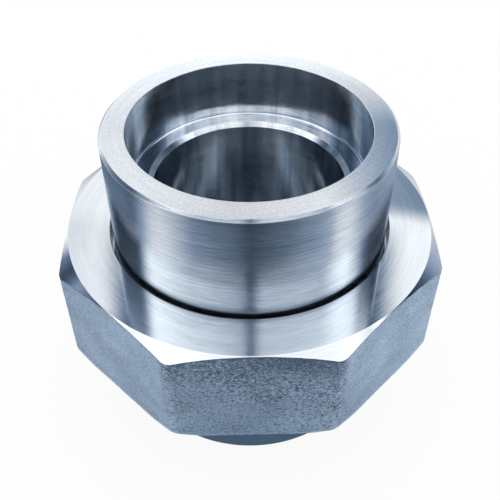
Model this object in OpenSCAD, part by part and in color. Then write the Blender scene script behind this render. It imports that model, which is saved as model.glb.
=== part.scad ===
// Socket weld pipe union for DN 50 (NPS 2) pipe, in stainless steel.
// Three pieces: a thread piece below, a tail piece above, and an octagonal nut
// that traps the tail piece's shoulder and draws its ball seat into the cone seat
// of the thread piece. The union stands on the thread piece's pipe end, axis up.

/* [Overall] */
// Length of the closed union over its two pipe ends
union_length = 86; // [80:1:100]

/* [Pipe ends] */
// Bore of both sockets, for pipe of 60.3 mm outside diameter
socket_d = 61.3; // [60.8:0.1:62]
// Depth of both sockets
socket_depth = 16; // [12:0.5:18]
// Radius in the corner at the bottom of a socket
socket_corner_r = 0.6; // [0.3:0.1:1.2]
// Diameter of the waterway between the sockets
bore_d = 50.4; // [46:0.1:52.5]
// Chamfer where the waterway opens in the floor of a socket
bore_chamfer = 1.2; // [0.5:0.1:2]
// Wall of a hub round its socket
socket_wall = 6.35; // [5.5:0.05:8]
// Chamfer round the outside of both pipe ends
rim_chamfer = 0.7; // [0.3:0.1:1.5]

/* [Thread piece] */
// Height of the hub below the threaded collar
hub_height = 23; // [20:0.5:24]
// Length of the threaded collar
thread_length = 19; // [17:0.5:22]
// Height of the thread's crests above the hub
thread_step = 7; // [6:0.25:9]
// Rise of the thread in one turn
thread_pitch = 2.54; // [1.5:0.01:3]
// Chamfer at both ends of the thread
thread_chamfer = 1.5; // [0.8:0.1:2]
// Radius where the hub runs out into the collar
collar_root_r = 2; // [1:0.25:3]

/* [Seat] */
// Width of the flat end face between the thread and the cone
end_face_w = 5.5; // [4:0.25:7]
// Width of the cone outside the circle where the ball meets it
seat_inset = 5; // [3:0.25:7]
// Angle between the cone's side and the axis
seat_angle = 45; // [40:1:50]
// Width of the flat ring at the tip of the ball seat
nose_land = 1; // [0.5:0.1:1.5]

/* [Tail piece] */
// Thickness of the shoulder that the nut bears on
shoulder_t = 6; // [5:0.25:7]
// Radius where the hub meets the shoulder
shoulder_root_r = 0.8; // [0.4:0.1:0.9]
// Chamfer round the shoulder's outer edges
shoulder_chamfer = 0.6; // [0.3:0.1:1]

/* [Nut] */
// Number of flats
nut_sides = 8; // [6, 8]
// Wall between the relief groove and the flats
nut_wall = 4.45; // [4:0.05:8]
// Height of the nut
nut_height = 31.2; // [29:0.2:33]
// Radius along the forged edges between the flats
nut_edge_r = 4.5; // [2:0.5:7]
// Thickness of the lip over the tail piece's shoulder
lip_t = 7.6; // [6:0.2:9]
// Width lost from the flats to the turned top face, on each side
face_inset = 0.2; // [0.1:0.1:2]
// Fall of the chamfer that runs from the top face over the corners
top_chamfer_angle = 32; // [25:1:40]
// Width that the bottom chamfer stands out past the flats before it cuts the corners
foot_overhang = 1.6; // [0.5:0.1:2.5]
// Rise of the chamfer under the corners
bottom_chamfer_angle = 30; // [20:1:40]
// Break round both edges of the hole in the lip
hole_chamfer = 0.4; // [0.2:0.1:0.8]
// Height of the relief groove between the thread and the lip
relief_height = 2.5; // [1.5:0.25:3.5]
// Depth of the relief groove below the thread's crests
relief_depth = 0.8; // [0.4:0.1:1.2]

/* [Clearances] */
// Gap all round between the tail piece's hub and the hole in the nut
hole_gap = 0.95; // [0.9:0.05:1.5]
// Gap all round between the two threads at their pitch line
thread_gap = 0.3; // [0.2:0.05:0.4]
// Gap all round between the shoulder and the crests of the nut's thread
shoulder_gap = 0.5; // [0.3:0.1:1]
// Gap between the ball and the cone, before they are lapped together
seat_gap = 0.15; // [0.1:0.05:0.3]
// Gap between the end of the thread piece and the shoulder with the seat closed
end_gap = 1; // [0.6:0.1:1.5]

/* [Hidden] */

$fn = 128;
eps = 0.01;
turned_colour = [0.78, 0.81, 0.86];
forged_colour = [0.52, 0.58, 0.66];
edge_meet_angle = 8; // between a forged edge's round and the flat beside it

bore_r = bore_d / 2;
socket_r = socket_d / 2;
hub_r = socket_r + socket_wall;
thread_r = hub_r + thread_step;

// A 60 degree thread: how far its pitch line and its nut's crests lie inside the nominal size
pitch_line_depth = 3 / 8 * thread_pitch * cos(30);
crest_depth = 5 / 8 * thread_pitch * cos(30);
pitch_line_r = thread_r - pitch_line_depth;
male_thread_r = pitch_line_r - thread_gap / 2;
female_thread_r = pitch_line_r + thread_gap / 2;
nut_crest_r = thread_r - crest_depth;
relief_r = thread_r + relief_depth;

// Heights along the axis, from the lower pipe end up
thread_top = hub_height + thread_length;
shoulder_bottom = thread_top + end_gap;
shoulder_top = shoulder_bottom + shoulder_t;
nut_top = shoulder_top + lip_t;
nut_bottom = nut_top - nut_height;

// The cone touches a ball centred on the axis along the seat circle
seat_mouth_r = male_thread_r - thread_chamfer - end_face_w;
seat_r = seat_mouth_r - seat_inset;
seat_z = thread_top - (seat_mouth_r - seat_r) / tan(seat_angle);
cone_tip_z = seat_z - (seat_r - bore_r) / tan(seat_angle);
ball_z = seat_z + seat_r * tan(seat_angle);
ball_r = seat_r / cos(seat_angle) - seat_gap;
nose_r = bore_r + nose_land;
nose_z = ball_z - sqrt(ball_r * ball_r - nose_r * nose_r);

shoulder_r = nut_crest_r - shoulder_gap;
hole_r = hub_r + hole_gap;
nut_flat_r = relief_r + nut_wall;
nut_corner_r = nut_flat_r / cos(180 / nut_sides);
edge_centre_r = (nut_flat_r - nut_edge_r * cos(edge_meet_angle)) / cos(180 / nut_sides);
top_face_r = nut_flat_r - face_inset;
foot_r = nut_flat_r + foot_overhang;
top_chamfer_fall = (nut_corner_r - top_face_r) * tan(top_chamfer_angle);
bottom_chamfer_rise = max(0, nut_corner_r - foot_r) * tan(bottom_chamfer_angle);

// Fills the corner between a wall to the left and a floor below, with radius r
module corner_fill(r) {
    difference() {
        translate([-eps, -eps])
            square(r + eps);
        translate([r, r])
            circle(r);
    }
}

// Half section of a pipe end that opens downwards at z = 0, as a piece to cut away
module socket_section() {
    difference() {
        union() {
            translate([0, -eps])
                square([socket_r, socket_depth + eps]);
            polygon([
                [0, socket_depth - eps],
                [bore_r + bore_chamfer + eps, socket_depth - eps],
                [bore_r, socket_depth + bore_chamfer],
                [0, socket_depth + bore_chamfer]
            ]);
        }
        translate([socket_r, socket_depth])
            rotate(180)
                corner_fill(socket_corner_r);
    }
}

// Lower piece: hub with its socket, threaded collar and cone seat
module thread_piece() {
    color(turned_colour)
        rotate_extrude()
            difference() {
                union() {
                    polygon([
                        [0, 0],
                        [hub_r - rim_chamfer, 0],
                        [hub_r, rim_chamfer],
                        [hub_r, hub_height],
                        [male_thread_r - thread_chamfer, hub_height],
                        [male_thread_r, hub_height + thread_chamfer],
                        [male_thread_r, thread_top - thread_chamfer],
                        [male_thread_r - thread_chamfer, thread_top],
                        [0, thread_top]
                    ]);
                    translate([hub_r, hub_height])
                        mirror([0, 1])
                            corner_fill(collar_root_r);
                }
                socket_section();
                square([bore_r, thread_top]);
                polygon([
                    [0, cone_tip_z],
                    [bore_r, cone_tip_z],
                    [seat_mouth_r, thread_top],
                    [seat_mouth_r, thread_top + eps],
                    [0, thread_top + eps]
                ]);
            }
}

// Half section of the ball seat, from its tip up into the shoulder
module ball_section() {
    intersection() {
        translate([0, ball_z])
            circle(ball_r);
        translate([0, nose_z])
            square([ball_r, shoulder_bottom - nose_z + eps]);
    }
}

// Upper piece: hub with its socket, shoulder and ball seat
module tail_piece() {
    color(turned_colour)
        rotate_extrude()
            difference() {
                union() {
                    polygon([
                        [0, shoulder_bottom],
                        [shoulder_r - shoulder_chamfer, shoulder_bottom],
                        [shoulder_r, shoulder_bottom + shoulder_chamfer],
                        [shoulder_r, shoulder_top - shoulder_chamfer],
                        [shoulder_r - shoulder_chamfer, shoulder_top],
                        [hub_r, shoulder_top],
                        [hub_r, union_length - rim_chamfer],
                        [hub_r - rim_chamfer, union_length],
                        [0, union_length]
                    ]);
                    translate([hub_r, shoulder_top])
                        corner_fill(shoulder_root_r);
                    ball_section();
                }
                translate([0, union_length])
                    mirror([0, 1])
                        socket_section();
                square([bore_r, union_length]);
            }
}

// Outline of the forged nut: flats joined by rounded edges
module nut_outline() {
    difference() {
        rotate(180 / nut_sides - 90)
            circle(nut_corner_r, $fn = nut_sides);
        for (edge = [0 : nut_sides - 1])
            rotate((edge + 0.5) * 360 / nut_sides - 90)
                translate([edge_centre_r, 0])
                    difference() {
                        translate([nut_edge_r * cos(180 / nut_sides) * cos(edge_meet_angle), -nut_edge_r])
                            square(2 * nut_edge_r);
                        circle(nut_edge_r);
                    }
    }
}

// Half section of what the lathe leaves of the nut
module nut_section() {
    polygon([
        [female_thread_r + thread_chamfer, nut_bottom],
        [foot_r, nut_bottom],
        [nut_corner_r, nut_bottom + bottom_chamfer_rise],
        [nut_corner_r, nut_top - top_chamfer_fall],
        [top_face_r, nut_top],
        [hole_r + hole_chamfer, nut_top],
        [hole_r, nut_top - hole_chamfer],
        [hole_r, shoulder_top + hole_chamfer],
        [hole_r + hole_chamfer, shoulder_top],
        [relief_r, shoulder_top],
        [relief_r, shoulder_top - relief_height],
        [female_thread_r, shoulder_top - relief_height - relief_depth],
        [female_thread_r, nut_bottom + thread_chamfer]
    ]);
}

// Octagonal nut: turned faces, chamfers, lip and thread on a forged blank
module union_nut() {
    color(forged_colour)
        intersection() {
            translate([0, 0, nut_bottom])
                linear_extrude(nut_height)
                    nut_outline();
            rotate_extrude()
                nut_section();
        }
}

thread_piece();
tail_piece();
union_nut();
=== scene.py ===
"""Socket weld union: its turned and forged steel, its screw thread, and the stage for its picture."""

import math
from functools import partialmethod

import bpy
from bpy.props import FloatProperty, FloatVectorProperty, IntProperty, PointerProperty
from mathutils import Matrix, Vector


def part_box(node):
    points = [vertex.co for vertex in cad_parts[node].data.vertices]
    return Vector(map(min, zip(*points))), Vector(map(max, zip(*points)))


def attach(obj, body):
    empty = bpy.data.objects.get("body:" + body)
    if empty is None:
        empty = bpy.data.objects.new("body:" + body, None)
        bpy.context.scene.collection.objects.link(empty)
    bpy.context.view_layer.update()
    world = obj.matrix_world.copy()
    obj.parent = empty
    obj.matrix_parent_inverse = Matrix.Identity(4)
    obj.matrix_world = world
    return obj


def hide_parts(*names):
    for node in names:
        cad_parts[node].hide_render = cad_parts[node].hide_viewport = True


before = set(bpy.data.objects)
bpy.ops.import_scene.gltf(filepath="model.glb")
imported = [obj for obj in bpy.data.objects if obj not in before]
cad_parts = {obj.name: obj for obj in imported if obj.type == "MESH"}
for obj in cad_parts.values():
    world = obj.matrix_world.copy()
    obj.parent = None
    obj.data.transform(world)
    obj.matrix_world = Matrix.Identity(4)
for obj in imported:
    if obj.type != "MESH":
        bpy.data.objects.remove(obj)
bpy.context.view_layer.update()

bl_info = {
    "name": "Socket Weld Union",
    "version": (1, 0, 0),
    "blender": (4, 5, 0),
    "location": "3D View > Sidebar > Union",
    "description": "Makes the three pieces of a socket weld pipe union, their steel and their stage",
    "category": "Add Mesh",
}

MM = 0.001
TO_MM = 1000.0
UNION_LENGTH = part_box("tail_piece")[1].z
THREAD_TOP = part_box("thread_piece")[1].z
NUT_BOTTOM, NUT_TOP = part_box("union_nut")[0].z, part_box("union_nut")[1].z

# Kinds of row in a section, which the node trees read
PLAIN, TOP_CHAMFER, FLAT, BOTTOM_CHAMFER, THREAD = 0, 1, 2, 3, 4


# Sizes and looks

def length(name, millimetres, text):
    """A length property, with its default given in millimetres."""
    return FloatProperty(name=name, description=text, default=millimetres * MM, min=0.0,
                         subtype="DISTANCE", unit="LENGTH", precision=5)


def angle(name, degrees, text):
    """An angle property, with its default given in degrees."""
    return FloatProperty(name=name, description=text, default=math.radians(degrees),
                         subtype="ANGLE", unit="ROTATION")


def share(name, value, text):
    """A factor from 0 to 1."""
    return FloatProperty(name=name, description=text, default=value, min=0.0, max=1.0, subtype="FACTOR")


def colour(name, value, text):
    """A colour property."""
    return FloatVectorProperty(name=name, description=text, default=value, size=3, min=0.0, max=1.0,
                               subtype="COLOR")


class UnionHubSizes(bpy.types.PropertyGroup):
    """Sizes that both pipe ends share"""
    hub_r: length("Hub radius", 37.0, "Outside of the hubs")
    socket_r: length("Socket radius", 30.65, "Inside of the pipe sockets")
    socket_depth: length("Socket depth", 16.0, "From the rim to the socket's floor")
    socket_corner_r: length("Socket corner", 0.6, "Radius in the corner at the bottom of a socket")
    bore_r: length("Bore radius", 25.2, "Waterway between the sockets")
    bore_chamfer: length("Bore chamfer", 1.2, "Chamfer where the waterway opens in a socket's floor")
    rim_chamfer: length("Rim chamfer", 0.7, "Chamfer round the outside of both pipe ends")
    edge_break: length("Edge break", 0.12, "Small round on every turned edge")
    segments: IntProperty(name="Segments", description="Facets round the axis", default=320, min=64, max=512)


class UnionSeatSizes(bpy.types.PropertyGroup):
    """Sizes of the collar, the seat and the shoulder"""
    hub_height: length("Lower hub", 23.0, "Height of the lower hub below the collar")
    collar_root_r: length("Collar root", 2.0, "Radius where the lower hub runs out into the collar")
    male_r: length("Plain thread radius", 43.025, "The collar where its thread is left out")
    thread_chamfer: length("Thread chamfer", 1.5, "Chamfer at both ends of the plain thread")
    end_face_w: length("End face", 5.5, "Flat ring between the thread and the cone")
    seat_inset: length("Seat inset", 5.0, "Width of the cone outside the circle where the ball meets it")
    seat_gap: length("Seat gap", 0.15, "Between the ball and the cone")
    nose_land: length("Nose land", 1.0, "Flat ring at the tip of the ball")
    end_gap: length("End gap", 1.0, "Between the thread piece's end and the shoulder")
    shoulder_t: length("Shoulder", 6.0, "Thickness of the shoulder under the nut's lip")
    shoulder_r: length("Shoulder radius", 42.125, "Outside of the shoulder")
    shoulder_root_r: length("Shoulder root", 0.8, "Radius where the hub meets the shoulder")
    shoulder_chamfer: length("Shoulder chamfer", 0.6, "Chamfer round the shoulder")


class UnionNutSizes(bpy.types.PropertyGroup):
    """Sizes of the octagonal nut"""
    sides: IntProperty(name="Sides", description="Number of flats", default=8, min=6, max=8)
    flat_r: length("Flat radius", 49.25, "From the axis to a flat")
    edge_r: length("Edge radius", 4.5, "Round along the forged edges between the flats")
    edge_meet: angle("Edge meeting angle", 8.0, "Between an edge's round and the flat beside it")
    hole_r: length("Hole radius", 37.95, "Hole in the lip")
    hole_chamfer: length("Hole break", 0.15, "Break round both edges of the hole")
    face_inset: length("Face inset", 0.2, "Width lost from the flats to the turned top face")
    top_slope: angle("Top chamfer", 32.0, "Fall of the chamfer over the corners")
    foot_overhang: length("Foot overhang", 1.6, "Width of the bottom chamfer's edge past the flats")
    bottom_slope: angle("Bottom chamfer", 30.0, "Rise of the chamfer under the corners")
    relief_r: length("Relief radius", 44.8, "Groove between the thread and the lip")
    relief_height: length("Relief height", 2.5, "Height of that groove")
    grain_depth: length("Grain depth", 0.09, "Height of the forged flats' pebbles and hollows")
    segments: IntProperty(name="Segments", description="Facets round the axis", default=512, min=128, max=768)


class UnionThreadSizes(bpy.types.PropertyGroup):
    """Sizes of the 60 degree screw thread"""
    pitch: length("Pitch", 2.54, "Rise of the thread in one turn")
    male_crest_r: length("Male crest", 44.0, "Crests of the thread piece")
    female_crest_r: length("Female crest", 42.8, "Crests of the nut")
    clearance: length("Clearance", 0.3, "Between the thread piece and the nut, where the thread is left out")
    row_step: length("Row step", 0.16, "Height of one row of the thread's mesh")


class UnionSteelLook(bpy.types.PropertyGroup):
    """Colours and finish of the steel"""
    turned: colour("Turned steel", (0.885, 0.915, 0.945), "Colour of the machined surfaces")
    turned_deep: colour("Turned steel, in its grooves", (0.54, 0.63, 0.73), "Colour in the feed marks")
    # Painted shade: the colour of the dark line round the hub, just above the nut
    painted_foot_shade: colour("Painted foot shade", (0.26, 0.31, 0.37), "Colour of the dark line round the hub, just above the nut")
    wall_roughness: share("Wall roughness", 0.16, "Roughness of the turned walls")
    face_roughness: share("Face roughness", 0.05, "Roughness of the turned end faces")
    forged: colour("Forged steel", (0.70, 0.85, 1.0), "Colour of the blasted flats")
    forged_pit: colour("Forged steel, in its pits", (0.13, 0.19, 0.28), "Colour in the pits of the flats")
    forged_roughness: share("Forged roughness", 0.48, "Roughness of the blasted flats")


class UnionStageLook(bpy.types.PropertyGroup):
    """The camera and the light round the union"""
    lens: FloatProperty(name="Lens", description="Focal length on a 36 mm sensor", default=51.24, min=10.0,
                        unit="CAMERA")
    camera_place: FloatVectorProperty(name="Camera place", description="Where the camera stands", size=3,
                                      default=(-0.00281, -0.14997, 0.18215), subtype="TRANSLATION",
                                      unit="LENGTH")
    camera_yaw: angle("Yaw", 1.11, "Turn of the camera to the right")
    camera_pitch: angle("Pitch", 42.72, "Tilt of the camera downwards")
    camera_roll: angle("Roll", -0.28, "Roll of the camera")
    paper: colour("Paper", (0.96, 0.965, 0.97), "Colour of the floor")
    # Painted shade: the card under the union glows dimly in place of the shade there
    shade_r: length("Shade", 62.0, "Radius of the dim card under the union, which only the steel sees")


# Wiring of node trees

class Wire:
    """A node's output that can be reckoned with: each operation adds a Math node to the tree."""

    def __init__(self, tree, socket):
        self.tree, self.socket = tree, socket

    def math(self, operation, *others, clamp=False):
        values = dict(enumerate((self, *others)))
        return wire(self.tree, "ShaderNodeMath", 0, values, operation=operation, use_clamp=clamp)

    def __rsub__(self, other):
        return (self * -1.0) + other

    def held(self):
        """Held between 0 and 1."""
        return self.math("ADD", 0.0, clamp=True)

    def is_kind(self, kind):
        """1 where a row's kind is this one, and 0 elsewhere."""
        return self.math("COMPARE", float(kind), 0.25)

    def pick(self, yes, no):
        """yes where this wire is 1, and no where it is 0."""
        return self * yes + (1.0 - self) * no

    def ramp(self, low, high):
        """Rises smoothly from 0 at low to 1 at high."""
        return wire(self.tree, "ShaderNodeMapRange", "Result",
                    {"Value": self, "From Min": low, "From Max": high}, interpolation_type="SMOOTHSTEP")

    def between(self, low, high):
        """Rises evenly from 0 at low to 1 at high."""
        return ((self - low) / (high - low)).held()


# Methods of a wire that are one Math node each
for method, operation in {
        "__add__": "ADD", "__sub__": "SUBTRACT", "__mul__": "MULTIPLY", "__truediv__": "DIVIDE",
        "sin": "SINE", "cos": "COSINE", "tan": "TANGENT", "sqrt": "SQRT", "power": "POWER",
        "abs": "ABSOLUTE", "round": "ROUND", "fract": "FRACT", "least": "MINIMUM", "most": "MAXIMUM",
        "above": "GREATER_THAN", "below": "LESS_THAN"}.items():
    setattr(Wire, method, partialmethod(Wire.math, operation))


def feed(socket, value):
    """Links a wire or a node's output into socket, or sets its value."""
    if isinstance(value, Wire):
        value = value.socket
    if isinstance(value, bpy.types.NodeSocket):
        socket.id_data.links.new(value, socket)
    else:
        socket.default_value = value


def feed_all(node, inputs):
    """Feeds a node's inputs, each by its name or place."""
    for name, value in dict(inputs).items():
        feed(node.inputs[name], value)


def add_node(tree, kind, inputs=(), **settings):
    """A new node with its settings made and its inputs fed."""
    node = tree.nodes.new(kind)
    for name, value in settings.items():
        setattr(node, name, value)
    feed_all(node, inputs)
    return node


def wire(tree, kind, output, inputs=(), **settings):
    """A new node's output, as a wire."""
    return Wire(tree, add_node(tree, kind, inputs, **settings).outputs[output])


def vector_of(tree, x, y, z):
    """The three values as one vector."""
    return add_node(tree, "ShaderNodeCombineXYZ", {"X": x, "Y": y, "Z": z}).outputs[0]


def parts_of(tree, vector):
    """The x, y and z of a vector."""
    parts = add_node(tree, "ShaderNodeSeparateXYZ", {"Vector": vector})
    return [Wire(tree, part) for part in parts.outputs]


def even_noise(tree, vector, scale, detail, roughness=0.6):
    """Noise that lies evenly round 0."""
    settings = {"Vector": vector, "Scale": scale, "Detail": detail, "Roughness": roughness}
    return wire(tree, "ShaderNodeTexNoise", "Fac", settings) - 0.5


def new_tree(name, inputs):
    """A Geometry Nodes tree with these named inputs, floats where no kind is given.

    Returns it, its geometry and its inputs as wires.
    """
    tree = bpy.data.node_groups.new(name, "GeometryNodeTree")
    face = tree.interface
    face.new_socket("Geometry", in_out="INPUT", socket_type="NodeSocketGeometry")
    for label, text, *kind in inputs:
        socket_type = "NodeSocket" + (kind or ["Float"])[0]
        face.new_socket(label, in_out="INPUT", socket_type=socket_type, description=text)
    face.new_socket("Geometry", in_out="OUTPUT", socket_type="NodeSocketGeometry")
    entry = tree.nodes.new("NodeGroupInput")
    wires = {label: Wire(tree, entry.outputs[label]) for label, *_ in inputs}
    return tree, entry.outputs["Geometry"], wires


def end_tree(tree, geometry, material, selection=True):
    """Ends a tree in Realize Instances and Set Material."""
    real = add_node(tree, "GeometryNodeRealizeInstances", {"Geometry": geometry})
    coat = add_node(tree, "GeometryNodeSetMaterial",
                    {"Geometry": real.outputs[0], "Selection": selection, "Material": material})
    add_node(tree, "NodeGroupOutput", {"Geometry": coat.outputs[0]})
    return tree


def place_of_points(tree):
    """The height, radius and turn of the points."""
    x, y, z = parts_of(tree, add_node(tree, "GeometryNodeInputPosition").outputs[0])
    return z, (x * x + y * y).sqrt(), y.math("ARCTAN2", x)


def row_value(tree, name):
    """A value that the section's rows carry."""
    return wire(tree, "GeometryNodeInputNamedAttribute", "Attribute", {"Name": name}, data_type="FLOAT")


def set_round(tree, geometry, selection, radius, turn, z):
    """Moves the selected points to a radius, a turn and a height."""
    spot = vector_of(tree, radius * turn.cos(), radius * turn.sin(), z)
    return add_node(tree, "GeometryNodeSetPosition",
                    {"Geometry": geometry, "Selection": selection, "Position": spot}).outputs[0]


def keep_creases(tree, geometry, limit):
    """Shades the faces smooth, and keeps each edge sharp that turns more than the limit."""
    crease = wire(tree, "GeometryNodeInputMeshEdgeAngle", "Unsigned Angle").above(limit)
    for domain, selection, smooth in (("FACE", True, True), ("EDGE", True, True), ("EDGE", crease, False)):
        shading = {"Geometry": geometry, "Selection": selection, "Shade Smooth": smooth}
        geometry = add_node(tree, "GeometryNodeSetShadeSmooth", shading, domain=domain).outputs[0]
    return geometry


# Node trees of the shapes

CREASE_INPUT = ("Crease angle", "Edges that turn more than this stay sharp")


def lathe_tree():
    """Turns a section round the axis: it sweeps the section along a circle."""
    tree, geometry, value = new_tree("Lathe", [
        ("Segments", "Facets round the axis", "Int"),
        ("Sweep radius", "Radius of the circle that the section is drawn from"),
        CREASE_INPUT,
        ("Steel", "Finish of the turned surfaces", "Material"),
    ])
    section = add_node(tree, "GeometryNodeMeshToCurve", {"Mesh": geometry})
    circle = add_node(tree, "GeometryNodeCurvePrimitiveCircle",
                      {"Resolution": value["Segments"], "Radius": value["Sweep radius"]})
    upright = add_node(tree, "GeometryNodeSetCurveNormal", {"Curve": circle.outputs["Curve"]}, mode="Z_UP")
    swept = add_node(tree, "GeometryNodeCurveToMesh",
                     {"Curve": upright.outputs["Curve"], "Profile Curve": section.outputs["Curve"]})
    turned = keep_creases(tree, swept.outputs["Mesh"], value["Crease angle"])
    return end_tree(tree, turned, value["Steel"])


CROWDING = 0.35         # how strongly the columns crowd towards the edges between the flats
HOLLOWS = (90.0, 2.4)   # grains of the forged skin: how many a metre, and their weight
PEBBLES = (420.0, 1.3)
LEAST_CHAMFER = 0.04 * MM
MERGE_DISTANCE = 0.002 * MM
UPRIGHT = 0.4           # a face is a flat where its normal's Z is less


def wrench_flats_tree():
    """Presses a turned blank into a nut: flats, rounded edges, and chamfers that die out on the flats."""
    tree, geometry, value = new_tree("Wrench flats", [
        ("Sides", "Number of flats", "Int"),
        ("Flat radius", "From the axis to a flat"),
        ("Edge radius", "Round along the edges between the flats"),
        ("Edge centre", "From the axis to the middle of that round"),
        ("Edge reach", "Half the angle that the round takes, seen from the axis"),
        ("Face radius", "Edge of the top face"),
        ("Foot radius", "Where the bottom chamfer starts"),
        ("Top", "Height of the top face"),
        ("Bottom", "Height of the bottom face"),
        ("Top slope", "Fall of the top chamfer"),
        ("Bottom slope", "Rise of the bottom chamfer"),
        ("Grain depth", "Height of the pebbles on the flats"),
        CREASE_INPUT,
        ("Forged steel", "Finish of the flats", "Material"),
    ])
    z, radius, turn = place_of_points(tree)
    kind, along = row_value(tree, "kind"), row_value(tree, "along")

    # Columns crowd towards the edges between the flats
    step = value["Sides"].power(-1.0) * (2.0 * math.pi)
    sector = ((turn + math.pi / 2.0) / step).round()
    share_of_flat = ((turn + math.pi / 2.0) - sector * step) / (step * 0.5)
    crowded = share_of_flat * ((1.0 + CROWDING) - share_of_flat * share_of_flat * CROWDING)
    local = crowded * step * 0.5
    new_turn = sector * step - math.pi / 2.0 + local
    from_edge = step * 0.5 - local.abs()

    on_flat = value["Flat radius"] / local.cos()
    edge_r, edge_centre = value["Edge radius"], value["Edge centre"]
    sideways = edge_centre * from_edge.sin()
    on_edge = edge_centre * from_edge.cos() + (edge_r * edge_r - sideways * sideways).most(0.0).sqrt()
    outline = from_edge.below(value["Edge reach"]).pick(on_edge, on_flat)

    # Forged hollows and pebbles, read where each point comes to lie
    spot = vector_of(tree, outline * new_turn.cos(), outline * new_turn.sin(), z)
    hollows, pebbles = (even_noise(tree, spot, scale, 1.0, 0.5) * weight
                        for scale, weight in (HOLLOWS, PEBBLES))
    rough = outline + value["Grain depth"] * (hollows + pebbles)
    face_r, top, bottom = value["Face radius"], value["Top"], value["Bottom"]
    fall, rise = value["Top slope"].tan(), value["Bottom slope"].tan()
    forged = rough.most(face_r + LEAST_CHAMFER)

    top_edge = top - (forged - face_r) * fall
    foot = value["Foot radius"].least(forged)
    foot_edge = bottom + (forged - foot) * rise
    is_top, is_flat, is_foot = (kind.is_kind(k) for k in (TOP_CHAMFER, FLAT, BOTTOM_CHAMFER))
    is_other = 1.0 - is_top - is_flat - is_foot
    top_r = face_r + (forged - face_r) * along
    foot_r = forged + (foot - forged) * along
    new_radius = is_top * top_r + is_flat * forged + is_foot * foot_r + is_other * radius
    new_z = (is_top * (top - (top_r - face_r) * fall) + is_flat * (top_edge + (foot_edge - top_edge) * along)
             + is_foot * (bottom + (foot_r - foot) * rise) + is_other * z)
    moved = set_round(tree, geometry, True, new_radius, new_turn, new_z)
    merged = add_node(tree, "GeometryNodeMergeByDistance", {"Geometry": moved, "Distance": MERGE_DISTANCE})
    pressed = keep_creases(tree, merged.outputs[0], value["Crease angle"])
    normal = add_node(tree, "GeometryNodeInputNormal").outputs[0]
    lift = parts_of(tree, normal)[2].abs()
    outside = radius.above(value["Flat radius"] - 1.0 * MM)
    return end_tree(tree, pressed, value["Forged steel"], lift.below(UPRIGHT) * outside)


def screw_thread_tree():
    """Cuts a right-hand 60 degree screw thread into the thread's rows."""
    tree, geometry, value = new_tree("Screw thread", [
        ("Pitch", "Rise in one turn"),
        ("Crest radius", "Radius of the crests"),
        ("Inward", "1 for a nut's thread, 0 for a bolt's"),
        ("Lower end", "Height where the thread begins"),
        ("Upper end", "Height where the thread ends"),
        ("Lower mouth", "Radius of the chamfer at the lower end"),
        ("Upper mouth", "Radius of the chamfer at the upper end"),
        ("Run-out", "Height over which the thread fades at its blind end"),
        CREASE_INPUT,
        ("Steel", "Finish of the thread", "Material"),
    ])
    z, _, turn = place_of_points(tree)
    inward, pitch = value["Inward"], value["Pitch"]
    sign = 1.0 - inward * 2.0
    phase = (z / pitch - turn / (2.0 * math.pi) + inward * 0.5).fract()
    off_crest = (phase - 0.5).abs() * pitch
    # Flats of an eighth of the pitch on the crests, and five eighths of the full triangle's depth
    depth = pitch * (5.0 / 8.0 * math.cos(math.radians(30.0)))
    cut = ((off_crest - pitch * (1.0 / 16.0)) / (pitch * (5.0 / 16.0))).held() * depth
    below_end, above_end = value["Upper end"] - z, z - value["Lower end"]
    fade_male = (above_end / value["Run-out"]).held()
    fade_female = (below_end / value["Run-out"]).held()
    cut = cut * inward.pick(fade_female, fade_male)
    threaded = value["Crest radius"] - sign * cut
    # A bolt's chamfers limit its radius from outside, a nut's from inside
    upper, lower = value["Upper mouth"] + sign * below_end, value["Lower mouth"] + sign * above_end
    male = threaded.least(upper).least(lower)
    female = threaded.most(upper).most(lower)
    is_thread = row_value(tree, "kind").is_kind(THREAD)
    moved = set_round(tree, geometry, is_thread, inward.pick(female, male), turn, z)
    return end_tree(tree, keep_creases(tree, moved, value["Crease angle"]), value["Steel"], is_thread)


# Sections

ROUND_REACH = 0.4   # most of a side that a corner's round may take
FLANK_SHARE = 0.4   # how far the two outer points stand off a round, as a share of its length
FINE_STEPS, COARSE_STEPS = 3, 6
BALL_STEPS = 14


def turned_corner(before, corner, after, radius, steps):
    """Points that round a corner of a section, with one more on each side that keeps the shading flat."""
    here = Vector(corner)
    to_before, to_after = Vector(before) - here, Vector(after) - here
    opening = to_before.angle(to_after)
    trim = radius / math.tan(opening / 2.0)
    trim = min(trim, ROUND_REACH * to_before.length, ROUND_REACH * to_after.length)
    radius = trim * math.tan(opening / 2.0)
    to_before.normalize()
    to_after.normalize()
    start, end = here + to_before * trim, here + to_after * trim
    middle = here + (to_before + to_after).normalized() * math.hypot(trim, radius)
    points = [start + to_before * FLANK_SHARE * trim]
    for step in range(steps + 1):
        between = start.lerp(end, step / steps) - middle
        points.append(middle + between.normalized() * radius)
    points.append(end + to_after * FLANK_SHARE * trim)
    return points


def rounded_section(corners, edge_break):
    """Rows of a closed section: radius, height, kind and place along its kind's stretch.

    A corner is (r, z), (r, z, round), or (r, z, 0, kind, along) for a row that a tree moves.
    """
    rows = []
    for place, corner in enumerate(corners):
        r, z = corner[:2]
        kind, along = corner[3:] if len(corner) > 3 else (PLAIN, 0.0)
        size = corner[2] if len(corner) > 2 else edge_break
        if not size:
            rows.append((r, z, kind, along))
            continue
        before, after = corners[place - 1][:2], corners[(place + 1) % len(corners)][:2]
        steps = FINE_STEPS if size <= edge_break else COARSE_STEPS
        rows += [(p.x, p.y, kind, along) for p in turned_corner(before, (r, z), after, size, steps)]
    return rows


def arc_rows(centre_z, radius, start_z, end_z, steps):
    """Rows along a ball that is centred on the axis, between two heights."""
    low, high = math.asin((start_z - centre_z) / radius), math.asin((end_z - centre_z) / radius)
    turns = [low + (high - low) * step / steps for step in range(steps + 1)]
    return [(radius * math.cos(t), centre_z + radius * math.sin(t), 0) for t in turns]


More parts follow.
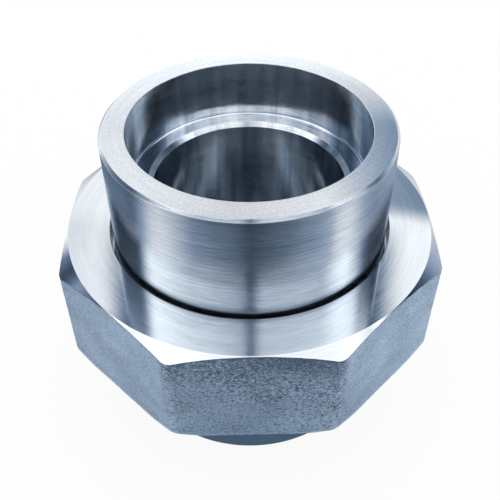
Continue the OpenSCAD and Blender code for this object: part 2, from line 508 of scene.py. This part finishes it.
def steps_between(start, end, step):
    """Even steps from start to end, both ends included."""
    count = max(1, round(abs(end - start) / step))
    return [start + (end - start) * i / count for i in range(count + 1)]


def seat_circle(seat):
    """Radius of the cone's mouth, and of the circle where the ball would touch the cone."""
    mouth_r = seat.male_r - seat.thread_chamfer - seat.end_face_w
    return mouth_r, mouth_r - seat.seat_inset


def lip_height(seat):
    """Height of the underside of the nut's lip, which rests on the shoulder."""
    return THREAD_TOP + seat.end_gap + seat.shoulder_t


def nut_mouth_r(seat, thread):
    """Radius of the chamfer where the nut's thread begins."""
    return seat.male_r + thread.clearance + seat.thread_chamfer


def socket_rows(hub, mouth_z, way):
    """The socket, from the rim in to the waterway. way is 1 where it opens downwards, and -1 upwards."""
    floor_z = mouth_z + way * hub.socket_depth
    return [
        (hub.socket_r, mouth_z),
        (hub.socket_r, floor_z, hub.socket_corner_r),
        (hub.bore_r + hub.bore_chamfer, floor_z),
        (hub.bore_r, floor_z + way * hub.bore_chamfer),
    ]


def tail_section(hub, seat):
    """Half section of the tail piece, clockwise."""
    shoulder_z = THREAD_TOP + seat.end_gap
    top_z = shoulder_z + seat.shoulder_t
    mouth_r, seat_r = seat_circle(seat)
    ball_z = THREAD_TOP - (mouth_r - seat_r) + seat_r
    ball_r = seat_r * math.sqrt(2.0) - seat.seat_gap
    nose_r = hub.bore_r + seat.nose_land
    nose_z = ball_z - math.sqrt(ball_r ** 2 - nose_r ** 2)
    corners = list(reversed(socket_rows(hub, UNION_LENGTH, -1)))
    corners += [
        (hub.hub_r - hub.rim_chamfer, UNION_LENGTH),
        (hub.hub_r, UNION_LENGTH - hub.rim_chamfer),
        (hub.hub_r, top_z, seat.shoulder_root_r),
        (seat.shoulder_r - seat.shoulder_chamfer, top_z),
        (seat.shoulder_r, top_z - seat.shoulder_chamfer),
        (seat.shoulder_r, shoulder_z + seat.shoulder_chamfer),
        (seat.shoulder_r - seat.shoulder_chamfer, shoulder_z),
    ]
    corners += reversed(arc_rows(ball_z, ball_r, nose_z, shoulder_z, BALL_STEPS))
    corners += [(hub.bore_r, nose_z)]
    return rounded_section(corners, hub.edge_break)


def thread_piece_section(hub, seat, thread):
    """Half section of the thread piece, clockwise, with the fine rows that the thread is cut in."""
    mouth_r, _ = seat_circle(seat)
    cone_tip_z = THREAD_TOP - (mouth_r - hub.bore_r)
    collar_r = seat.male_r - seat.thread_chamfer
    corners = [
        (hub.bore_r, cone_tip_z),
        (mouth_r, THREAD_TOP),
        (collar_r, THREAD_TOP, 0),
    ]
    corners += [(thread.male_crest_r, z, 0, THREAD, 0.0)
                for z in steps_between(THREAD_TOP, seat.hub_height, thread.row_step)[1:-1]]
    corners += [
        (collar_r, seat.hub_height, 0),
        (hub.hub_r, seat.hub_height, seat.collar_root_r),
        (hub.hub_r, hub.rim_chamfer),
        (hub.hub_r - hub.rim_chamfer, 0.0),
    ]
    corners += socket_rows(hub, 0.0, 1)
    return rounded_section(corners, hub.edge_break)


# Places of the nut's rows along its chamfers and flats, from 0 at the top to 1 at the bottom
TOP_CHAMFER_ROWS = (0.0, 0.04, 0.2, 0.4, 0.6, 0.8, 0.96)
BOTTOM_CHAMFER_ROWS = (0.1, 0.5, 0.9, 1.0)
FLAT_ROW_STEP = 0.03
NUT_THREAD_ROW = 1.25   # height of a row of the nut's thread, in rows of the thread piece's


def nut_section(hub, seat, nut, thread):
    """Half section of the nut's blank, clockwise. The Wrench flats tree puts its outer rows in place."""
    lip_z = lip_height(seat)
    relief_z = lip_z - nut.relief_height
    mouth_r = nut_mouth_r(seat, thread)
    corner_r = nut.flat_r / math.cos(math.pi / nut.sides)
    face_r = nut.flat_r - nut.face_inset
    corners = [(mouth_r, NUT_BOTTOM, 0)]
    corners += [(nut.relief_r - 0.2 * MM, z, 0, THREAD, 0.0)
                for z in steps_between(NUT_BOTTOM, relief_z, thread.row_step * NUT_THREAD_ROW)[1:-1]]
    corners += [
        (nut.relief_r, relief_z, 0),
        (nut.relief_r, lip_z),
        (nut.hole_r + nut.hole_chamfer, lip_z),
        (nut.hole_r, lip_z + nut.hole_chamfer),
        (nut.hole_r, NUT_TOP - nut.hole_chamfer),
        (nut.hole_r + nut.hole_chamfer, NUT_TOP),
    ]
    corners += [(r, NUT_TOP, 0) for r in steps_between(nut.hole_r + 1.5 * MM, face_r - 0.3 * MM, 2.0 * MM)]
    corners += [(face_r + t * (corner_r - face_r), NUT_TOP - t * MM, 0, TOP_CHAMFER, t)
                for t in TOP_CHAMFER_ROWS]
    corners += [(corner_r, NUT_TOP - (2.0 + 26.0 * t) * MM, 0, FLAT, t)
                for t in steps_between(0.0, 1.0, FLAT_ROW_STEP)]
    corners += [(corner_r - t * MM, NUT_BOTTOM + (1.0 - t) * MM, 0, BOTTOM_CHAMFER, t)
                for t in BOTTOM_CHAMFER_ROWS]
    corners += [(mouth_r + 2.0 * MM, NUT_BOTTOM, 0)]
    return rounded_section(corners, hub.edge_break)


# Making a piece

CREASE = math.radians(24.0)
SWEEP_R = 50.0 * MM


def new_object(name, data):
    """An object with this data, in the scene."""
    obj = bpy.data.objects.new(name, data)
    bpy.context.scene.collection.objects.link(obj)
    return obj


def section_mesh(name, rows):
    """A closed polyline of the section, drawn as the Lathe tree sweeps it, with each row's kind and place."""
    mesh = bpy.data.meshes.new(name)
    mesh.from_pydata([(r - SWEEP_R, -z, 0.0) for r, z, _, _ in rows],
                     [(i, (i + 1) % len(rows)) for i in range(len(rows))], [])
    for label, column in (("kind", 2), ("along", 3)):
        values = [float(row[column]) for row in rows]
        mesh.attributes.new(label, "FLOAT", "POINT").data.foreach_set("value", values)
    return mesh


def enclosed_volume(mesh):
    """Volume inside a closed mesh: below 0 where its faces point inwards."""
    mesh.calc_loop_triangles()
    total = 0.0
    for triangle in mesh.loop_triangles:
        a, b, c = (mesh.vertices[i].co for i in triangle.vertices)
        total += a.dot(b.cross(c)) / 6.0
    return total


def add_tree(obj, tree, settings):
    """Puts a tree on the object, with its inputs set by their sockets' identifiers."""
    modifier = obj.modifiers.new(tree.name, "NODES")
    modifier.node_group = tree
    for item in tree.interface.items_tree:
        if item.item_type == "SOCKET" and item.in_out == "INPUT" and item.name in settings:
            modifier[item.identifier] = settings[item.name]


def make_piece(name, node, body, rows, trees):
    """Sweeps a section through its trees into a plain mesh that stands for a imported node."""
    obj = new_object(name, section_mesh(name, rows))
    for tree, settings in trees:
        add_tree(obj, tree, settings)
    depsgraph = bpy.context.evaluated_depsgraph_get()
    mesh = bpy.data.meshes.new_from_object(obj.evaluated_get(depsgraph), preserve_all_data_layers=True,
                                           depsgraph=depsgraph)
    obj.modifiers.clear()
    outline, obj.data = obj.data, mesh
    bpy.data.meshes.remove(outline)
    mesh.name = name
    if enclosed_volume(mesh) <= 0.0:
        raise RuntimeError(f"{name} is inside out")
    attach(obj, body)
    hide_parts(node)
    return obj


# Steel

def new_material(name):
    """An empty material with a Principled shader. Returns the material, its tree and the shader."""
    material = bpy.data.materials.new(name)
    material.use_nodes = True
    tree = material.node_tree
    tree.nodes.clear()
    shader = tree.nodes.new("ShaderNodeBsdfPrincipled")
    add_node(tree, "ShaderNodeOutputMaterial", {"Surface": shader.outputs[0]})
    return material, tree, shader


def mixed_colour(tree, factor, low, high):
    """A colour between two others, each a wire or a plain colour."""
    low, high = (c if isinstance(c, Wire) else (*c, 1.0) for c in (low, high))
    mix = add_node(tree, "ShaderNodeMix", {0: factor, 6: low, 7: high}, data_type="RGBA")
    return Wire(tree, mix.outputs[2])


def object_place(tree):
    """The x, y, z and radius of a point in the object's own space, in millimetres."""
    spot = add_node(tree, "ShaderNodeTexCoord").outputs["Object"]
    x, y, z = (part * TO_MM for part in parts_of(tree, spot))
    radius = (x * x + y * y).sqrt().most(0.001)
    return x, y, z, radius


# Stray scratches: which way they run, in radians, and where in the noise each set is read
SCRATCHES = ((0.5, 0.0), (1.35, 40.0), (2.5, 90.0))


def stray_scratches(tree, x, y, z):
    """Sparse hairline scratches, which run in a few directions. 1 in a scratch, and 0 elsewhere."""
    found = None
    for turn, offset in SCRATCHES:
        along = x * math.cos(turn) + y * math.sin(turn)
        across = y * math.cos(turn) - x * math.sin(turn)
        vector = vector_of(tree, along * 0.10 + offset, across * 4.5, z * 2.2)
        line = even_noise(tree, vector, 1.0, 1.0, 0.5).ramp(0.22, 0.28)
        found = line if found is None else found.most(line)
    return found


LEVEL_FACE = 0.75   # a surface is an end face where its normal's Z is more


def turned_steel(scene):
    """Steel off the lathe: feed marks run round the axis, and its gleam is stretched across them."""
    look, hub_r = scene.union_steel, scene.union_hub.hub_r * TO_MM
    material, tree, shader = new_material("turned steel")
    x, y, z, radius = object_place(tree)
    normal = add_node(tree, "ShaderNodeNewGeometry").outputs["True Normal"]
    on_face = parts_of(tree, normal)[2].abs().above(LEVEL_FACE)
    across = on_face.pick(radius, z)
    above_nut = z - NUT_TOP * TO_MM

    def marks(round_scale, across_scale, detail):
        """Noise that is long round the axis and short across the marks."""
        around = x / radius * round_scale, y / radius * round_scale
        return even_noise(tree, vector_of(tree, *around, across * across_scale), 1.0, detail)

    feed_marks, dashes = marks(1.0, 3.6, 3.0), marks(9.0, 5.0, 1.0)
    bands, smears = marks(0.5, 0.55, 2.0), marks(2.5, 0.35, 2.0)

    # Streaks along the bores, which are painted reflections, and a mottled rim
    on_bore = radius.below(hub_r - 3.0) * (1.0 - on_face)
    on_rim = on_face * above_nut.above(5.0)
    streaks = marks(13.0, 0.03, 1.0) * on_bore
    mottle = even_noise(tree, vector_of(tree, x, y, z), 1.7, 2.0) * on_rim
    scratches = stray_scratches(tree, x, y, z) * on_face

    height = (feed_marks * 0.8 + dashes * 0.5 + bands * 0.4) * on_face.pick(0.14, 1.0)
    bump = add_node(tree, "ShaderNodeBump", {"Height": height, "Strength": 1.0, "Distance": 0.02 * MM})
    shade = ((feed_marks + dashes * 0.7) * on_face.pick(0.45, 1.7) + bands * 0.5 + smears * 0.5
             + streaks * 2.4 + mottle * 1.1 + 0.66).held()
    # Painted shade: a dark line round the hub, just above the nut
    on_hub = radius.below(hub_r + 0.5) * radius.above(hub_r - 0.5)
    foot = on_hub * above_nut.above(-1.0) * above_nut.ramp(3.2, 1.6)
    steel = mixed_colour(tree, shade, look.turned_deep, look.turned)
    gloss = on_face.pick(look.face_roughness, look.wall_roughness)
    tangent = add_node(tree, "ShaderNodeTangent", direction_type="RADIAL", axis="Z")
    feed_all(shader, {
        "Base Color": mixed_colour(tree, foot * 0.6, steel, look.painted_foot_shade), "Metallic": 1.0,
        "Roughness": gloss + smears * 0.06 + feed_marks * 0.06 + scratches * 0.12,
        "Anisotropic": 0.85, "Anisotropic Rotation": 0.25,
        "Tangent": tangent.outputs[0], "Normal": bump.outputs[0]})
    return material


def forged_steel(scene):
    """Steel as forged and blasted: matt, pebbled and pitted, coarsest on the flat in front."""
    look, nut = scene.union_steel, scene.union_nut
    flat_r, face_inset = nut.flat_r * TO_MM, nut.face_inset * TO_MM
    foot_r = flat_r + nut.foot_overhang * TO_MM
    material, tree, shader = new_material("forged steel")
    x, y, z, radius = object_place(tree)
    spot = vector_of(tree, x, y, z * 1.5)

    def grain(size, detail):
        """Noise whose grains are this many millimetres across."""
        return even_noise(tree, spot, 1.0 / size, detail)

    pebbles, sand, patches = grain(0.95, 2.0), grain(0.42, 1.0), grain(14.0, 3.0)
    front = (y * -1.0).ramp(flat_r - 2.25, flat_r - 0.25)
    coarse = front * (grain(22.0, 1.0).ramp(-0.16, 0.10) * 0.7 + 0.3)
    below_edge = NUT_TOP * TO_MM - (radius - (flat_r - face_inset)) * math.tan(nut.top_slope) - z
    above_foot = z - NUT_BOTTOM * TO_MM - (radius - foot_r).most(0.0) * math.tan(nut.bottom_slope)
    pits = pebbles.ramp(-0.06, -0.20)
    height = pebbles * (coarse * 0.9 + 0.2) + sand * (coarse * 0.1 + 0.32)
    bump = add_node(tree, "ShaderNodeBump", {"Height": height, "Strength": 1.0, "Distance": 0.5 * MM})
    shade = (0.27 - pebbles * (coarse * 2.0 + 0.35) - sand * 1.8 - patches * 0.9 + pits * coarse * 0.35
             # Painted shade: the flat in front darker towards its top. Also darker just under the top
             # chamfer's edge
             + front * (z - 36.0).between(0.0, 22.0) * 0.62 + below_edge.ramp(0.7, 0.1) * 0.35
             # Painted highlight: lighter just above the bottom chamfer's edge
             - above_foot.ramp(1.3, 0.1) * 0.45).held()
    feed_all(shader, {
        "Base Color": mixed_colour(tree, shade, look.forged, look.forged_pit), "Metallic": 1.0,
        "Roughness": patches * 0.2 + pits * 0.1 + look.forged_roughness, "Normal": bump.outputs[0]})
    return material


# Stage

def ring_of_panels(tree, turn, stops):
    """Light levels round the axis. The last one runs on into the first, at the back."""
    node = add_node(tree, "ShaderNodeValToRGB", {"Fac": turn})
    ramp = node.color_ramp
    ramp.elements.remove(ramp.elements[-1])
    for place, (degrees, level) in enumerate((*stops.items(), (180, stops[-180]))):
        at = degrees / 360.0 + 0.5
        stop = ramp.elements[0] if place == 0 else ramp.elements.new(at)
        stop.position = at
        stop.color = (level, level, level, 1.0)
    return Wire(tree, node.outputs["Color"])


# Rings of the light tent: the sine of the height that each is seen at, and its levels of light.
# A level stands at its degrees from the front towards +X, and runs evenly into the next.
TENT = (
    (-0.95, {-180: 1.5, 0: 0.9}),
    (-0.79, {-180: 0.5, -80: 0.8, 0: 0.1, 80: 0.9}),
    (-0.71, {-180: 1.5, -106: 0.1, -97: 0.5, -88: 1.3, -74: 1.1, -46: 0.35, -18: 0.2, 0: 0.03, 18: 0.12,
        52: 0.38, 68: 0.4, 73: 1.1, 86: 1.3, 106: 0.2}),
    (-0.62, {-180: 0.3, -104: 0.1, -74: 0.65, -46: 0.14, -24: 0.03, 0: 0.02, 28: 0.02, 50: 0.18, 78: 0.7,
        112: 0.2}),
    (-0.42, {-180: 0.1, 60: 0.05, 120: 0.9}),
    (-0.14, {-180: 0.7, -60: 1.2, 0: 0.9, 60: 1.0}),
    (0.34, {-180: 1.1, -132: 1.3, -124: 0.1, -90: 0.02, -80: 1.5, -50: 0.02, 50: 0.02, 70: 1.5, 100: 0.1,
        130: 0.6}),
    (0.44, {-180: 1.4, -140: 1.4, -120: 0.02, -110: 0.4, -95: 0.12, -20: 0.05, 0: 0.9, 20: 0.9, 30: 0.05,
        60: 1.5, 86: 1.0, 94: 0.15, 150: 0.02, 160: 1.4}),
    (0.53, {-180: 0.65, -165: 1.0, -124: 0.1, -110: 0.14, -98: 0.25, -86: 0.05, -66: 0.15, -40: 1.5,
        45: 1.5, 62: 0.1, 98: 0.03, 130: 0.03, 160: 0.16, 173: 0.6}),
    (0.62, {-180: 0.8, -166: 1.1, -140: 0.02, -100: 0.02, -90: 1.5, -40: 1.2, 0: 0.1, 10: 1.1, 60: 0.35,
        72: 1.6, 82: 1.9, 92: 0.4, 110: 0.02, 150: 0.1, 165: 0.36, 171: 0.95}),
    (0.635, {-180: 0.8, -166: 1.0, -140: 0.02, -100: 0.02, -90: 1.5, -40: 1.2, 0: 0.1, 10: 1.1, 60: 0.35,
        72: 1.6, 82: 1.9, 92: 0.4, 110: 0.02, 148: 0.1, 157: 1.2, 168: 1.1}),
    (0.67, {-180: 0.8, -172: 0.8, -167: 0.15, -165.3: 1.1, -140: 0.02, -100: 0.03, -90: 1.4, -72: 1.4,
        -50: 0.5, -10: 0.15, 0: 0.02, 8: 0.25, 60: 0.32, 72: 1.5, 82: 1.8, 92: 0.5, 110: 0.02, 148: 0.05,
        156: 1.15, 162.8: 1.15, 164.3: 0.15, 170: 0.8}),
    (0.72, {-180: 0.02, -166.4: 0.05, -165: 1.1, -150: 0.3, -110: 0.02, -90: 1.3, -50: 0.45, -10: 0.18,
        0: 0.02, 8: 0.3, 60: 0.45, 100: 1.5, 110: 0.15, 148: 0.1, 156: 1.1, 162.5: 1.1, 163.9: 0.05}),
    (0.77, {-180: 0.02, -160: 0.1, -150: 0.7, -110: 0.4, -100: 1.5, -60: 1.25, -12: 0.75, 0: 0.02, 10: 0.8,
        80: 1.5, 138: 1.3, 150: 0.3}),
    (0.83, {-180: 0.02, -140: 1.5, -50: 1.4, -8: 1.0, 0: 0.1, 8: 1.0, 140: 1.5, 150: 0.35}),
    (0.93, {-180: 1.3, 0: 1.15}),
)

COOL = (0.60, 1.0, 1.58)    # tint of the tent where it is dim
WHITE_LEVEL = 0.75          # and the level from which it is white


def studio_world():
    """Plain white light all round. What polished steel mirrors is a tent of bright and dim rings."""
    world = bpy.data.worlds.new("studio")
    world.use_nodes = True
    world.cycles.sampling_method = "NONE"
    tree = world.node_tree
    tree.nodes.clear()
    x, y, z = parts_of(tree, add_node(tree, "ShaderNodeTexCoord").outputs["Generated"])
    turn = x.math("ARCTAN2", y * -1.0) / (2.0 * math.pi) + 0.5
    below, stops = TENT[0]
    level = ring_of_panels(tree, turn, stops)
    for height, stops in TENT[1:]:
        level = mixed_colour(tree, z.between(below, height), level, ring_of_panels(tree, turn, stops))
        below = height
    tint = mixed_colour(tree, (level / WHITE_LEVEL).held(), COOL, (1.0, 1.0, 1.0))
    tent = wire(tree, "ShaderNodeVectorMath", 0, {"Vector": tint, "Scale": level}, operation="SCALE")
    glossy = add_node(tree, "ShaderNodeLightPath").outputs["Is Glossy Ray"]
    seen = mixed_colour(tree, glossy, (1.0, 1.0, 1.0), tent)
    light = add_node(tree, "ShaderNodeBackground", {"Color": seen, "Strength": 1.0})
    add_node(tree, "ShaderNodeOutputWorld", {"Surface": light.outputs[0]})
    return world


def floor_paper(look):
    """White paper with a faint grain, which glows so that it stays white and keeps a soft shadow."""
    material, tree, shader = new_material("paper")
    spot = add_node(tree, "ShaderNodeTexCoord").outputs["Object"]
    fibre = wire(tree, "ShaderNodeTexNoise", "Fac", {"Vector": spot, "Scale": 400.0, "Detail": 3.0})
    paler = tuple(min(1.0, c + 0.02) for c in look.paper)
    feed_all(shader, {"Base Color": mixed_colour(tree, fibre, look.paper, paler),
                      "Roughness": 0.9, "Specular IOR Level": 0.0})
    surface = shader.outputs[0].links[0].to_socket
    glow = tree.nodes.new("ShaderNodeEmission")
    mix = add_node(tree, "ShaderNodeMixShader", {0: 0.90, 1: shader.outputs[0], 2: glow.outputs[0]})
    feed(surface, mix.outputs[0])
    return material


# The card under the union, a sheet of painted shade with four spots of painted light: its light inside the
# lower socket, round it, and in the spots.
# A spot is given in millimetres off the middle, across on both sides and to the back.
CARD_INSIDE, CARD_OUTSIDE = (0.008, 0.016, 0.028), (0.075, 0.12, 0.18)
CARD_SPOTS, SPOT_GLOW = ((15.5, -6.0), (5.0, -9.6)), (1.1, 1.3, 1.5)


def painted_shade_card():
    """A glowing card of painted shade: nearly black inside the lower socket, with spots of painted light that
    give the bore its streaks.
    """
    material, tree, shader = new_material("painted shade card")
    x, y, _, radius = object_place(tree)
    glow = mixed_colour(tree, radius.ramp(30.0, 38.0), CARD_INSIDE, CARD_OUTSIDE)
    for across, back in CARD_SPOTS:
        away = ((x.abs() - across).power(2.0) + (y - back).power(2.0)).sqrt()
        glow = mixed_colour(tree, away.ramp(3.6, 2.0), glow, SPOT_GLOW)
    feed_all(shader, {"Base Color": (0.0, 0.0, 0.0, 1.0), "Roughness": 1.0, "Specular IOR Level": 0.0,
                      "Emission Color": glow, "Emission Strength": 1.0})
    return material


def stage_sheet(name, corners, material):
    """A flat sheet of the stage."""
    mesh = bpy.data.meshes.new(name)
    mesh.from_pydata(corners, [], [tuple(range(len(corners)))])
    mesh.materials.append(material)
    return new_object(name, mesh)


def camera_at(look):
    """A camera at the photograph's place and angle."""
    data = bpy.data.cameras.new("camera")
    data.lens = look.lens
    data.sensor_width = 36.0
    data.clip_start = 0.01
    yaw, pitch, roll = look.camera_yaw, look.camera_pitch, look.camera_roll
    ahead = Vector((math.sin(yaw) * math.cos(pitch), math.cos(yaw) * math.cos(pitch), -math.sin(pitch)))
    level = Vector((math.cos(yaw), -math.sin(yaw), 0.0))
    up = level.cross(ahead)
    right = level * math.cos(roll) + up * math.sin(roll)
    up = up * math.cos(roll) - level * math.sin(roll)
    camera = new_object("camera", data)
    turn = Matrix((right, up, -ahead)).transposed().to_4x4()
    camera.matrix_world = Matrix.Translation(Vector(look.camera_place)) @ turn
    return camera


# Operators

class UnionMaker:
    """What the operators share: the trees and the steel, each made once."""
    bl_options = {"REGISTER", "UNDO"}

    @staticmethod
    def tree(build, name):
        return bpy.data.node_groups.get(name) or build()

    @staticmethod
    def steel(build, name, scene):
        return bpy.data.materials.get(name) or build(scene)


# Turns over which a thread fades at its blind end
MALE_RUN_OUT, FEMALE_RUN_OUT = 1.6, 0.4


def turned_finish(scene):
    """The settings that the Lathe and the Screw thread tree share."""
    return {"Crease angle": CREASE, "Steel": UnionMaker.steel(turned_steel, "turned steel", scene)}


def lathe(scene, segments):
    """The Lathe tree and its settings."""
    return (UnionMaker.tree(lathe_tree, "Lathe"),
            {"Segments": segments, "Sweep radius": SWEEP_R, **turned_finish(scene)})


class OBJECT_OT_union_thread_piece(UnionMaker, bpy.types.Operator):
    """Add the lower piece: hub, socket, threaded collar and cone seat"""
    bl_idname = "object.union_thread_piece"
    bl_label = "Thread Piece"

    def execute(self, context):
        scene = context.scene
        hub, seat, thread = scene.union_hub, scene.union_seat, scene.union_thread
        collar_r = seat.male_r - seat.thread_chamfer
        cut = (self.tree(screw_thread_tree, "Screw thread"), {
            "Pitch": thread.pitch, "Crest radius": thread.male_crest_r, "Inward": 0.0,
            "Lower end": seat.hub_height, "Upper end": THREAD_TOP,
            "Lower mouth": collar_r, "Upper mouth": collar_r,
            "Run-out": MALE_RUN_OUT * thread.pitch, **turned_finish(scene)})
        make_piece("thread_piece_dressed", "thread_piece", "thread_piece",
                   thread_piece_section(hub, seat, thread), [lathe(scene, hub.segments), cut])
        return {"FINISHED"}


class OBJECT_OT_union_tail_piece(UnionMaker, bpy.types.Operator):
    """Add the upper piece: hub, socket, shoulder and ball seat"""
    bl_idname = "object.union_tail_piece"
    bl_label = "Tail Piece"

    def execute(self, context):
        scene = context.scene
        hub = scene.union_hub
        make_piece("tail_piece_dressed", "tail_piece", "tail_piece",
                   tail_section(hub, scene.union_seat), [lathe(scene, hub.segments)])
        return {"FINISHED"}


class OBJECT_OT_union_nut(UnionMaker, bpy.types.Operator):
    """Add the octagonal nut: forged flats, turned faces, lip and thread"""
    bl_idname = "object.union_nut"
    bl_label = "Nut"

    def execute(self, context):
        scene = context.scene
        hub, seat, nut, thread = scene.union_hub, scene.union_seat, scene.union_nut, scene.union_thread
        half = math.pi / nut.sides
        edge_centre = (nut.flat_r - nut.edge_r * math.cos(nut.edge_meet)) / math.cos(half)
        end = half - nut.edge_meet
        reach = math.atan2(nut.edge_r * math.sin(end), edge_centre + nut.edge_r * math.cos(end))
        press = (self.tree(wrench_flats_tree, "Wrench flats"), {
            "Sides": nut.sides, "Flat radius": nut.flat_r,
            "Edge radius": nut.edge_r, "Edge centre": edge_centre, "Edge reach": reach,
            "Face radius": nut.flat_r - nut.face_inset, "Foot radius": nut.flat_r + nut.foot_overhang,
            "Top": NUT_TOP, "Bottom": NUT_BOTTOM,
            "Top slope": nut.top_slope, "Bottom slope": nut.bottom_slope,
            "Grain depth": nut.grain_depth, "Crease angle": CREASE,
            "Forged steel": self.steel(forged_steel, "forged steel", scene)})
        cut = (self.tree(screw_thread_tree, "Screw thread"), {
            "Pitch": thread.pitch, "Crest radius": thread.female_crest_r, "Inward": 1.0,
            "Lower end": NUT_BOTTOM, "Upper end": lip_height(seat) - nut.relief_height,
            "Lower mouth": nut_mouth_r(seat, thread), "Upper mouth": nut.relief_r,
            "Run-out": FEMALE_RUN_OUT * thread.pitch, **turned_finish(scene)})
        make_piece("union_nut_dressed", "union_nut", "union_nut",
                   nut_section(hub, seat, nut, thread), [lathe(scene, nut.segments), press, cut])
        return {"FINISHED"}


FLOOR_HALF = 3.0
SHADE_SIDES = 64
SHADE_HEIGHT = 0.02 * MM


class OBJECT_OT_union_stage(UnionMaker, bpy.types.Operator):
    """Add the floor, the light and the camera"""
    bl_idname = "object.union_stage"
    bl_label = "Stage"

    def execute(self, context):
        scene, look = context.scene, context.scene.union_stage
        scene.world = studio_world()
        scene.view_settings.view_transform = "Standard"

        square = [(x * FLOOR_HALF, y * FLOOR_HALF, 0.0) for x, y in ((-1, -1), (1, -1), (1, 1), (-1, 1))]
        floor = stage_sheet("floor", square, floor_paper(look))
        floor.visible_glossy = False

        # A card of painted shade, with spots of painted light, which only the steel sees
        turns = [2.0 * math.pi * side / SHADE_SIDES for side in range(SHADE_SIDES)]
        ring = [(look.shade_r * math.cos(t), look.shade_r * math.sin(t), SHADE_HEIGHT) for t in turns]
        shade = stage_sheet("shade", ring, painted_shade_card())
        shade.visible_camera = shade.visible_diffuse = shade.visible_shadow = False

        scene.camera = camera_at(look)
        return {"FINISHED"}


class VIEW3D_PT_union(bpy.types.Panel):
    """The pieces of the union and their sizes"""
    bl_idname = "VIEW3D_PT_union"
    bl_label = "Socket Weld Union"
    bl_space_type = "VIEW_3D"
    bl_region_type = "UI"
    bl_category = "Union"

    def draw(self, context):
        layout = self.layout
        for maker in MAKERS:
            layout.operator(maker.bl_idname)
        for group, name in GROUPS.items():
            box = layout.box()
            settings = getattr(context.scene, name)
            box.label(text=group.bl_rna.description)
            for label in group.__annotations__:
                box.prop(settings, label)


GROUPS = {
    UnionHubSizes: "union_hub",
    UnionSeatSizes: "union_seat",
    UnionNutSizes: "union_nut",
    UnionThreadSizes: "union_thread",
    UnionSteelLook: "union_steel",
    UnionStageLook: "union_stage",
}
MAKERS = (OBJECT_OT_union_thread_piece, OBJECT_OT_union_tail_piece, OBJECT_OT_union_nut,
          OBJECT_OT_union_stage)
CLASSES = (*GROUPS, *MAKERS, VIEW3D_PT_union)


def register():
    for cls in CLASSES:
        bpy.utils.register_class(cls)
    for group, name in GROUPS.items():
        setattr(bpy.types.Scene, name, PointerProperty(type=group))


def unregister():
    for name in GROUPS.values():
        delattr(bpy.types.Scene, name)
    for cls in reversed(CLASSES):
        bpy.utils.unregister_class(cls)


def main():
    """Makes the stage and the pieces."""
    register()
    bpy.ops.object.union_stage()
    bpy.ops.object.union_thread_piece()
    bpy.ops.object.union_tail_piece()
    bpy.ops.object.union_nut()


if __name__ == "__main__":
    main()
